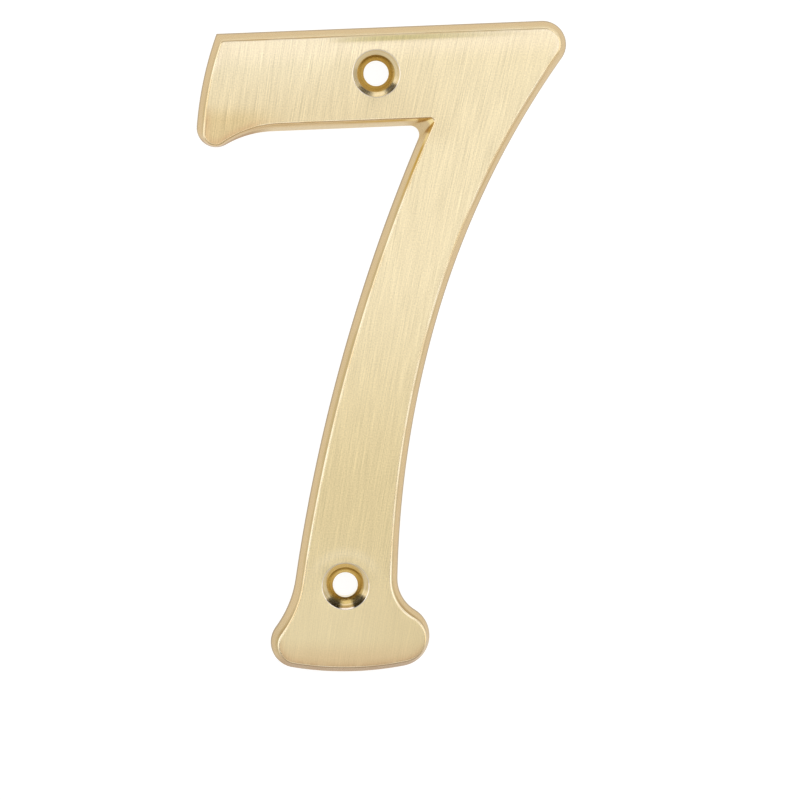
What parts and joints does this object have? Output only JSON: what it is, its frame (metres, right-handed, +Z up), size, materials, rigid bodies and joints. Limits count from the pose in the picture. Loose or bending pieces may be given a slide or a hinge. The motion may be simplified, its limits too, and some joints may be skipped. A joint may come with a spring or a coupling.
{
  "type": "house number",
  "caption": "Figure seven house number: one solid brass figure with a brushed flat face, leaning polished walls, a flat back and countersunk holes for screwing it to a wall or door.",
  "frame": {"origin": "middle between the two screw holes, on the flat back that lies against the wall", "axes": "+Z up the figure, +X to the reader's right, -Y out of the wall towards the reader"},
  "size_m": [0.0573, 0.0048, 0.1016],
  "materials": {
    "brass": "satin brushed face, polished walls and countersinks, clear lacquer"
  },
  "bodies": {
    "root": {"figure_seven": "brass"}
  },
  "joints": []
}
